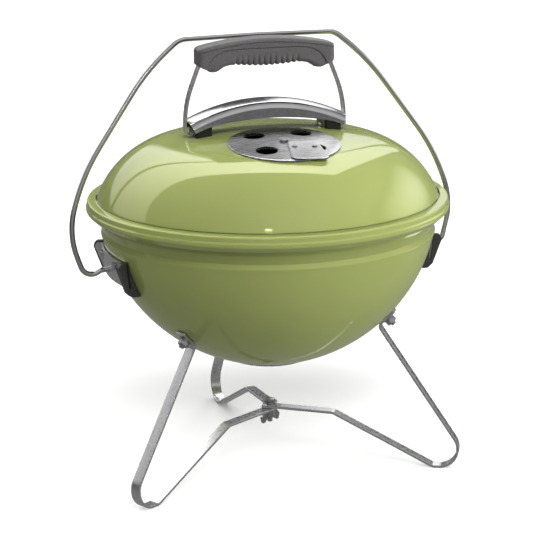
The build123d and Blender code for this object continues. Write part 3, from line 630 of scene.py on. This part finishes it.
def make_heat_shield():
    section = shield_section()
    rim = section[0][1]
    spread = asin(SHIELD_HALF_LENGTH / (rim + SHIELD_SIDE))
    drop = SHIELD_AXIS_Z - SHIELD_LIP_CENTRE_Z
    rings = []
    count = 72
    for i in range(count + 1):
        a = spread * (2 * i / count - 1)
        low = -drop * cos(a) + sqrt(SHIELD_LIP_RADIUS ** 2 - (drop * sin(a)) ** 2)
        lip = [low + (rim - low) * k / 4 for k in range(4)]
        front = [(-SHIELD_HALF_DEPTH, w) for w in lip]
        rear = [(SHIELD_HALF_DEPTH, w) for w in reversed(lip)]
        rings.append([(w * sin(a), HANDLE_Y + y, SHIELD_AXIS_Z + w * cos(a))
                      for y, w in front + section + rear])
    data = grid_mesh(rings, closed_ring=False)
    made = piece("heat_shield_sheet", data, "lid", SHIELD, ["heat_shield"], ON_LID,
                 weighted=False)
    thicken = made.modifiers.new("sheet", "SOLIDIFY")
    thicken.thickness, thicken.offset = SHEET * MM, 1.0 if inward_first(data) else -1.0
    ease = made.modifiers.new("edge", "BEVEL")
    ease.width, ease.segments, ease.limit_method, ease.angle_limit = 0.0003, 2, "ANGLE", radians(50)
    made.modifiers.new("normals", "WEIGHTED_NORMAL").keep_sharp = True


def inward_first(data):
    """True when the sheet's normals point at the lid."""
    crown = Vector((0, HANDLE_Y * MM, (SHIELD_AXIS_Z + SHIELD_CROWN) * MM))
    return min(data.polygons, key=lambda face: (face.center - crown).length).normal.z < 0


GRIP_HALF, GRIP_DEPTH = 71.6, 12.5
GRIP_TOP_Z, GRIP_END_TOP_Z, GRIP_END_LOW_Z = 448.3, 439.5, 418.5
GRIP_RISE = GRIP_TOP_Z - GRIP_END_TOP_Z
GRIP_END_SLOPE, GRIP_LEAST_HEIGHT = 0.44, 6.0
INSERT_REACH = 62.8
INSERT_LOW = [(0.0, 419.9), (18.0, 420.6), (36.0, 421.9), (44.0, 420.4),
              (50.5, 416.6), (54.5, 415.6), (59.0, 415.9), (62.8, 418.2)]
PARTING_Z, PARTING_RISE = 418.4, 19.6
RIB_PITCH, RIB_SPAN = 5.8, 35.0
RIB_DEPTH, RIB_TOP_Z, RIB_FADE = 2.1, 433.0, 9.0


def grip_top(x):
    arch = (GRIP_HALF ** 2 + GRIP_RISE ** 2) / (2 * GRIP_RISE)
    return GRIP_TOP_Z - arch + sqrt(arch ** 2 - x ** 2)


def parting(x):
    """Height of the joint between the grip's shell and its ribbed insert."""
    u = min(1.0, abs(x) / INSERT_REACH)
    return PARTING_Z + PARTING_RISE * (1 - u ** 6) ** 0.72


def grip_columns(reach, round_end, step):
    """Stations along the grip, with how far each is drawn in at the rounded ends."""
    stations = [(-reach + round_end * (1 - sin(a)), round_end * (1 - cos(a)))
                for a in [radians(90 - 15 * i) for i in range(6)]]
    inner = reach - round_end
    count = ceil(2 * inner / step)
    stations += [(-inner + 2 * inner * i / count, 0.0) for i in range(count + 1)]
    return stations + [(-x, inset) for x, inset in reversed(stations[:6])]


def make_grip_upper():
    rings = []
    for x, drawn in grip_columns(GRIP_HALF, 6.0, 1.2):
        half = GRIP_DEPTH - drawn
        top = grip_top(x) - drawn * 0.25
        if abs(x) < INSERT_REACH:
            low = parting(x) + 0.12
        else:
            low = GRIP_END_LOW_Z + (abs(x) - INSERT_REACH) * GRIP_END_SLOPE + drawn * 0.2
        low = min(low, top - GRIP_LEAST_HEIGHT)
        edge = 3.2
        side = top - edge - 0.15 * (half < 8)
        groove = top - edge - 1.4
        front = [(-half + 0.5, low), (-half, low + 0.6), (-half, groove - 0.75), (-half + 0.7, groove - 0.3),
                 (-half + 0.7, groove + 0.3), (-half, groove + 0.7)]
        front += [(-half + edge + p, side + q) for p, q in arc_points((0, 0), edge, 180, 96, 6)]
        crown = [(-half * 0.4, top + 0.25), (0.0, top + 0.35)]
        rear = [(-y, z) for y, z in reversed(front + crown[:1])]
        rings.append([(x, y, z) for y, z in front + crown + rear])
    piece("grip_shell", grid_mesh(rings), "lid", GRIP, ["grip_upper"], ON_HANDLE)


def rib_wave(x):
    """1 on a groove between two finger ribs, 0 on a rib's crest, fading out past the ribbed part."""
    window = 1 / (1 + exp((abs(x) - RIB_SPAN) / 0.8))
    wave = abs(sin(pi * x / RIB_PITCH + pi / 2))
    return window * (1 - wave ** 0.6) if wave < 1 else 0.0


def make_grip_insert():
    half, edge = 11.6, 4.5
    rings = []
    count = 300
    for i in range(count + 1):
        x = INSERT_REACH * 0.995 * (2 * i / count - 1)
        high = parting(x) - 0.05
        groove = rib_wave(x)
        low = min(catmull(INSERT_LOW, x), high - 0.4)
        ease = min(edge, (high - low) * 0.45)
        depth = half - max(0.0, abs(x) - 54.0) * 0.08
        line = [(-depth + 0.3, high)]
        for k in range(7):
            z = high - 0.3 - (high - 0.3 - low - ease) * k / 6
            cut = groove * RIB_DEPTH * max(0.0, min(1.0, (RIB_TOP_Z - z) / RIB_FADE))
            line.append((-depth + cut, z))
        for p, q in arc_points((0, 0), ease, 180, 270, 6)[1:]:
            cut = groove * RIB_DEPTH * (1 + q / ease * 0.5)
            line.append((-depth + ease + p + cut, low + ease + q + groove * 2.2))
        line += [(-depth * 0.3, low + groove * 2.3), (0.0, low + groove * 2.3)]
        line += [(-y, z) for y, z in reversed(line[:-1])]
        rings.append([(x, y, z) for y, z in line])
    piece("grip_ribbed_insert", grid_mesh(rings), "lid", GRIP, ["grip_insert"], ON_HANDLE)


# ---- legs and their fasteners ------------------------------------------------------------
def leg_path(hub_z):
    """From the tab under the bowl, down to the foot and in to the hub, as (distance out, height)."""
    tilt = radians(TAB_ANGLE)
    out = BOTTOM_RADIUS + STRAP_GAP + STRAP_THICK
    seat = Vector((out * sin(tilt), BOTTOM_CENTRE_Z - out * cos(tilt)))
    along = Vector((cos(tilt), sin(tilt)))
    corners = [seat + along * TAB_REACH, seat - along * TAB_REACH]
    corners += [(x, 0.0) for x in LEG_FOOT_X] + [LEG_KNEE] + [(x, hub_z) for x in LEG_HUB_X]
    return subdivided(rounded_path(corners, LEG_BENDS, 4.0), 12.0)


def make_legs():
    for level, (name, direction) in enumerate(LEG_ANGLES.items()):
        path = leg_path(HUB_Z + level * HUB_PITCH)
        data = swept(path, lambda inset: bar_section(STRAP_WIDTH, -STRAP_THICK, 0.0, inset=inset))
        place = Matrix.Rotation(radians(direction), 4, "Z")
        piece(name + "_bar", data, "root", BAR, [name], place)


def bottom_matrix(angle_down, direction):
    """A frame on the bowl's outside, its Z pointing outwards."""
    tilt, turn = radians(angle_down), radians(direction)
    normal = Vector((sin(tilt) * cos(turn), sin(tilt) * sin(turn), -cos(tilt)))
    spot = Vector((0, 0, BOTTOM_CENTRE_Z)) + normal * BOTTOM_RADIUS
    return Matrix.Translation(spot * MM) @ normal.to_track_quat("Z", "Y").to_matrix().to_4x4()


def threaded_profile(radius, low, high, pitch=1.0, depth=0.32):
    """The outline of a threaded shank, one ridge per turn."""
    points = [(radius - depth, low)]
    count = int((high - low - 1.0) / pitch)
    for i in range(count):
        z = low + 0.2 + pitch * i
        points += [(radius - depth, z), (radius - 0.04, z + 0.4 * pitch),
                   (radius - 0.04, z + 0.6 * pitch), (radius - depth, z + 0.95 * pitch)]
    points += [(radius - 0.2, high - 0.7), (radius - 0.7, high - 0.1), (radius - 1.0, high)]
    return points


def turned_hex(profile, across, steps=96):
    """A hexagonal bar turned to a profile: each radius is cut off by the six flats."""
    rings = []
    for i in range(steps):
        a = 2 * pi * i / steps
        flat = (across / 2) / cos((a % (pi / 3)) - pi / 6)
        rings.append([(min(r, flat) * cos(a), min(r, flat) * sin(a), z) for r, z in profile])
    return grid_mesh(rings, closed_run=True)


def nut_profile(low, high, bore, corner):
    return [(bore, low + 0.3), (bore + 0.4, low), (corner * 0.88, low), (corner, low + 0.7),
            (corner, high - 0.7), (corner * 0.88, high), (bore + 0.4, high), (bore, high - 0.3)]


def make_leg_fasteners():
    places = [bottom_matrix(TAB_ANGLE, direction) for direction in LEG_ANGLES.values()]
    head = [(0.0, -4.8), (3.6, -4.7), (5.0, -4.0), (5.5, -2.8), (5.5, -1.6), (5.3, -1.45), (3.0, -1.45)]
    bolt = lathe(head + threaded_profile(THREAD_RADIUS, -1.4, 12.1) + [(0.0, 12.1)], 40)
    piece("leg_bolt_set", copies(bolt, places), "root", ZINC, ["leg_bolts"])
    nut = turned_hex(nut_profile(4.4, 9.4, 3.02, 5.75), 10.0)
    piece("leg_nut_set", copies(nut, places), "root", ZINC, ["leg_nuts"])
    washer = lathe([(3.05, 3.15), (5.9, 3.15), (6.2, 3.4), (6.2, 4.1), (5.9, 4.35), (3.05, 4.35)], 48)
    piece("leg_washer_set", copies(washer, places), "root", ZINC, ["leg_washers"])


def make_hub_fasteners():
    head_low = HUB_Z + 2 * HUB_PITCH + STRAP_THICK + 1.5
    tip = HUB_Z - 13
    head = turned_hex([(0.0, head_low), (5.0, head_low), (5.75, head_low + 0.4), (5.75, head_low + 1.7),
                       (5.1, head_low + 2.2), (3.0, head_low + 2.6), (0.0, head_low + 2.8)], 10.0)
    thread = [(r, tip + head_low - z) for r, z in threaded_profile(THREAD_RADIUS, tip, head_low)]
    shank = lathe([(0.0, head_low)] + thread + [(0.0, tip)], 40)
    piece("hub_bolt_hex", merged(head, shank), "root", ZINC, ["hub_bolt"])


# ---- bail ----------------------------------------------------------------------------------
def make_bail():
    right = [(BAIL_END_X, 0.0)] + BAIL_CORNERS
    line = right + [(0.0, BAIL_TOP)] + [(-x, w) for x, w in reversed(right)]
    bends = BAIL_BENDS + [BAIL_TOP_BEND] + BAIL_BENDS[::-1]
    path = subdivided(rounded_path(line, bends, 3.0), 8.0)
    rod = swept(path, lambda inset: rod_section(ROD_RADIUS, inset), edge=0.3)
    lean = Matrix.Translation((0, 0, PIVOT_Z * MM)) @ Matrix.Rotation(radians(-BAIL_LEAN), 4, "X")
    head = lathe([(0.0, 165.4), (3.2, 165.4), (3.7, 165.8), (3.8, 166.4), (3.8, 167.0), (3.5, 167.4),
                  (0.0, 167.4)], 32)
    heads = copies(head, [Matrix.Rotation(radians(90 * side), 4, "Y") for side in (-1, 1)])
    piece("bail_wire", merged(rod, heads), "bail", WIRE, ["bail"], lean, weighted=False)


# ---- CAD nodes that keep their shape -----------------------------------------------------
def dress(node, paint, edge=0.0):
    """Paints a CAD node and eases its sharp edges."""
    made = NODES[node]
    made.data.materials.clear()
    made.data.materials.append(paint)
    for face in made.data.polygons:
        face.use_smooth = True
        face.material_index = 0
    weld = made.modifiers.new("weld", "WELD")
    weld.merge_threshold = 0.000004
    if edge:
        ease = made.modifiers.new("edge", "BEVEL")
        ease.width, ease.segments, ease.limit_method = edge * MM, 3, "ANGLE"
        ease.angle_limit, ease.use_clamp_overlap = radians(35), True
        ease.harden_normals = False
    made.modifiers.new("normals", "WEIGHTED_NORMAL").keep_sharp = False


def dress_cad_nodes():
    for side in ("left", "right"):
        dress("side_bracket_" + side, SHEET_METAL, 0.35)
        dress("handle_block_" + side, BLACK, 0.8)
        for place in ("front", "rear"):
            dress(f"bracket_pad_{side}_{place}", PAD, 1.1)
    for node in ("bracket_rivets", "hub_washer", "hub_wing_nut", "handle_bolts", "grip_screws",
                 "bottom_vent_rivet"):
        dress(node, ZINC, 0.25)
    for node in ("lid_vent_rivet", "lid_vent_tab_rivets"):
        dress(node, ALUMINIUM, 0.3)
    dress("bottom_vent_disc", ALUMINIUM, 0.3)
    dress("cooking_grate", GRATE)
    dress("charcoal_grate", GRATE)


# ---- studio --------------------------------------------------------------------------------
CAMERA_AZIMUTH = radians(-18.37)
CAMERA_ELEVATION = radians(15.25)
CAMERA_ROLL = radians(-0.62)
CAMERA_DISTANCE = 1.82295
CAMERA_AIM_HEIGHT = 0.20954
CAMERA_AIM_SIDE = -0.00194
CAMERA_SENSOR, CAMERA_LENS = 36.0, 118.43
STUDIO_RADIUS = 9.0
KETTLE_MIDDLE = Vector((0, 0, 0.24))

CAMERA_RIGHT = Vector((cos(CAMERA_AZIMUTH), sin(CAMERA_AZIMUTH), 0))
CAMERA_FORWARD = Vector((-sin(CAMERA_AZIMUTH), cos(CAMERA_AZIMUTH), 0))


def make_camera():
    back = Vector((sin(CAMERA_AZIMUTH) * cos(CAMERA_ELEVATION),
                   -cos(CAMERA_AZIMUTH) * cos(CAMERA_ELEVATION), sin(CAMERA_ELEVATION)))
    up = back.cross(CAMERA_RIGHT)
    right = CAMERA_RIGHT * cos(CAMERA_ROLL) + up * sin(CAMERA_ROLL)
    top = up * cos(CAMERA_ROLL) - CAMERA_RIGHT * sin(CAMERA_ROLL)
    place = Vector((0, 0, CAMERA_AIM_HEIGHT)) + CAMERA_RIGHT * CAMERA_AIM_SIDE + back * CAMERA_DISTANCE
    lens = bpy.data.cameras.new("camera")
    lens.sensor_width, lens.lens = CAMERA_SENSOR, CAMERA_LENS
    lens.clip_start, lens.clip_end = 0.05, 60.0
    camera = link("camera", lens)
    camera.matrix_world = Matrix.Translation(place) @ Matrix((right, top, back)).transposed().to_4x4()
    bpy.context.scene.camera = camera


def studio_point(right, forward, height):
    """A place in the studio, measured as the camera sees it."""
    return CAMERA_RIGHT * right + CAMERA_FORWARD * forward + Vector((0, 0, height))


def unseen_in_gloss(stage_piece):
    """Leaves a stage piece to the camera alone, so it neither lights the object nor mirrors in it."""
    stage_piece.visible_diffuse = False
    stage_piece.visible_glossy = False
    stage_piece.visible_transmission = False
    stage_piece.visible_shadow = False


FLOOR_GLOW = 0.50
DIM_RIGHT, DIM_FORWARD, DIM_WIDE, DIM_DEEP = -0.005, 0.23, 0.22, 0.13


def floor_glow(tree):
    """The table's own glow. It fades behind the kettle, which paints part of the shadow there."""
    spot = coordinates(tree)
    total = 0.0
    for axis, middle, reach in ((CAMERA_RIGHT, DIM_RIGHT, DIM_WIDE), (CAMERA_FORWARD, DIM_FORWARD, DIM_DEEP)):
        east = math_node(tree, "MULTIPLY", spot["X"], axis.x)
        along = math_node(tree, "MULTIPLY_ADD", spot["Y"], axis.y, east)
        apartness = math_node(tree, "DIVIDE", math_node(tree, "SUBTRACT", along, middle), reach)
        total = math_node(tree, "MULTIPLY_ADD", apartness, apartness, total)
    lee = math_node(tree, "EXPONENT", math_node(tree, "MULTIPLY", total, -1.0))
    return math_node(tree, "MULTIPLY", math_node(tree, "SUBTRACT", 1.0, lee), FLOOR_GLOW)


def make_floor():
    work = bmesh.new()
    bmesh.ops.create_circle(work, cap_ends=True, segments=96, radius=STUDIO_RADIUS)
    data = bpy.data.meshes.new("floor")
    work.to_mesh(data)
    work.free()
    floor = link("floor", data)
    made, tree, shader = new_material("floor", Roughness=0.9)
    shader.inputs["Specular IOR Level"].default_value = 0.0
    shade = ramp(tree, noise(tree, 3.0, 2.0), [(0.3, 0.59), (0.7, 0.60)])
    tree.links.new(shade, shader.inputs["Base Color"])
    shader.inputs["Emission Color"].default_value = (1.0, 1.0, 1.0, 1.0)
    tree.links.new(floor_glow(tree), shader.inputs["Emission Strength"])
    floor.data.materials.append(made)
    unseen_in_gloss(floor)


def make_backdrop():
    work = bmesh.new()
    bmesh.ops.create_uvsphere(work, u_segments=48, v_segments=24, radius=STUDIO_RADIUS)
    data = bpy.data.meshes.new("backdrop")
    work.to_mesh(data)
    work.free()
    dome = link("backdrop", data)
    dome.data.materials.append(glowing_material("backdrop")[0])
    unseen_in_gloss(dome)


def emitter(name, corners, build):
    """A flat glowing panel that the camera doesn't see. build(tree, glow) sets its strength."""
    data = bpy.data.meshes.new(name)
    data.from_pydata([tuple(corner) for corner in corners], [], [tuple(range(len(corners)))])
    panel = link(name, data)
    made, tree, glow = glowing_material(name)
    build(tree, glow)
    panel.data.materials.append(made)
    panel.visible_camera = False
    panel.visible_shadow = False
    return panel


CEILING_HEIGHT = 1.7
CEILING_CORNERS = [(0.38, 0.24), (1.45, 4.2), (-5.0, 4.2), (-5.0, -0.45), (-2.1, 0.03), (-0.47, 0.25)]
CEILING_NEAR, CEILING_BASE = 7.5, 0.9
LANE_TURN, LANE_HALF, LANE_SOFT = radians(13.0), radians(6.5), radians(3.5)
LANE_START, LANE_ONSET, LANE_LOSS = 1.35, 2.0, 0.93


def ceiling_glow(tree, glow):
    """Brightest over the object, falling off towards the rear, with a dim lane straight behind it."""
    spot = coordinates(tree)
    across = math_node(tree, "MULTIPLY", spot["X"], spot["X"])
    along = math_node(tree, "MULTIPLY", spot["Y"], spot["Y"])
    reach = math_node(tree, "SQRT", math_node(tree, "ADD", across, along))
    near = math_node(tree, "ADD", math_node(tree, "DIVIDE", reach, CEILING_HEIGHT), 1.0)
    falloff = math_node(tree, "DIVIDE", CEILING_NEAR, math_node(tree, "MULTIPLY", near, near))
    level = math_node(tree, "ADD", falloff, CEILING_BASE)
    turn = math_node(tree, "ARCTAN2", spot["X"], spot["Y"])
    aside = math_node(tree, "ABSOLUTE", math_node(tree, "SUBTRACT", turn, LANE_TURN))
    edge = math_node(tree, "DIVIDE", math_node(tree, "SUBTRACT", aside, LANE_HALF), LANE_SOFT)
    in_lane = math_node(tree, "SUBTRACT", 1.0, clamped(tree, edge))
    far = math_node(tree, "MULTIPLY", math_node(tree, "SUBTRACT", reach, LANE_START), LANE_ONSET)
    dimmed = math_node(tree, "MULTIPLY", math_node(tree, "MULTIPLY", in_lane, clamped(tree, far)), LANE_LOSS)
    tree.links.new(math_node(tree, "MULTIPLY", level, math_node(tree, "SUBTRACT", 1.0, dimmed)),
                   glow.inputs["Strength"])


def soft_glow(strength, width, height, power=1.0):
    """Brightest at a panel's middle, and fading to nothing at its edges."""
    def build(tree, glow):
        spot = coordinates(tree)
        level = strength
        for axis, size in (("X", width), ("Y", height)):
            out = math_node(tree, "MULTIPLY", spot[axis], 2.0 / size)
            fall = math_node(tree, "SUBTRACT", 1.0, math_node(tree, "MULTIPLY", out, out))
            fall = math_node(tree, "POWER", math_node(tree, "MAXIMUM", fall, 0.0), power)
            level = math_node(tree, "MULTIPLY", fall, level)
        tree.links.new(level, glow.inputs["Strength"])
    return build


def facing_panel(name, azimuth, elevation, distance, size, strength, power=1.0,
                 mirrored=True, lighting=True):
    """A soft panel that faces the kettle. Azimuth 0 is the front and grows to the right.

    A panel that isn't mirrored doesn't show in the gloss; one that isn't lighting only shows there.
    """
    turn, rise = radians(azimuth), radians(elevation)
    out = Vector((sin(turn) * cos(rise), -cos(turn) * cos(rise), sin(rise)))
    side = Vector((cos(turn), sin(turn), 0))
    width, height = size
    corners = [(-width / 2, -height / 2, 0), (width / 2, -height / 2, 0), (width / 2, height / 2, 0),
               (-width / 2, height / 2, 0)]
    panel = emitter(name, corners, soft_glow(strength, width, height, power))
    facing = Matrix((side, out.cross(side), out)).transposed().to_4x4()
    panel.matrix_world = Matrix.Translation(KETTLE_MIDDLE + out * distance) @ facing
    panel.visible_glossy = mirrored
    panel.visible_diffuse = lighting


# From nadir (0) to zenith (1): the world's own level, and what the front adds.
WORLD_LEVELS = [(0.0, 0.30), (0.40, 0.26), (0.50, 0.10), (0.62, 0.16), (1.0, 0.40)]
FRONT_LEVELS = [(0.44, 0.0), (0.54, 0.40), (0.66, 0.60), (0.80, 0.75), (0.93, 0.90), (1.0, 0.60)]
FRONT_TURN = 0.35     # how far the front leans to the right


def make_lights():
    h = CEILING_HEIGHT
    emitter("ceiling_panel", [studio_point(x * h, y * h, h) for x, y in CEILING_CORNERS], ceiling_glow)
    facing_panel("key_panel", -4.0, 45.0, 2.6, (1.3, 1.1), 15.5, 0.7, mirrored=False)
    facing_panel("right_panel", 94.0, 20.0, 2.2, (2.8, 1.4), 2.6, 1.2)
    facing_panel("right_fill", 62.0, -2.0, 2.2, (1.8, 1.3), 9.0, 0.8, mirrored=False)
    facing_panel("right_streak", 92.0, -16.0, 2.2, (0.8, 0.22), 7.0, 0.7, lighting=False)
    facing_panel("floor_bounce", 0.0, -89.9, 0.7, (7.0, 7.0), 0.42, 0.3, mirrored=False)
    for index, rise in enumerate((27.5, 32.5)):
        facing_panel(f"window_pane_{index}", -18.0, rise, 2.6, (0.20, 0.14), 16.0, 0.3, lighting=False)


def make_world():
    world = bpy.data.worlds.new("studio")
    world.use_nodes = True
    tree = world.node_tree
    spot = coordinates(tree, "Generated")
    level = math_node(tree, "MULTIPLY_ADD", spot["Z"], 0.5, 0.5)
    sideways = math_node(tree, "MULTIPLY", spot["X"], FRONT_TURN)
    front = math_node(tree, "MAXIMUM", math_node(tree, "SUBTRACT", sideways, spot["Y"]), 0.0)
    added = math_node(tree, "MULTIPLY", ramp(tree, level, FRONT_LEVELS), front)
    glow = math_node(tree, "ADD", ramp(tree, level, WORLD_LEVELS), added)
    tree.links.new(glow, tree.nodes["Background"].inputs["Color"])
    bpy.context.scene.world = world
    bpy.context.scene.view_settings.view_transform = "Standard"


make_camera()
make_bowl()
make_lid()
make_vent_disc()
make_vent_tab()
make_handle_strap()
make_heat_shield()
make_grip_upper()
make_grip_insert()
make_legs()
make_leg_fasteners()
make_hub_fasteners()
make_bail()
dress_cad_nodes()
make_floor()
make_backdrop()
make_lights()
make_world()
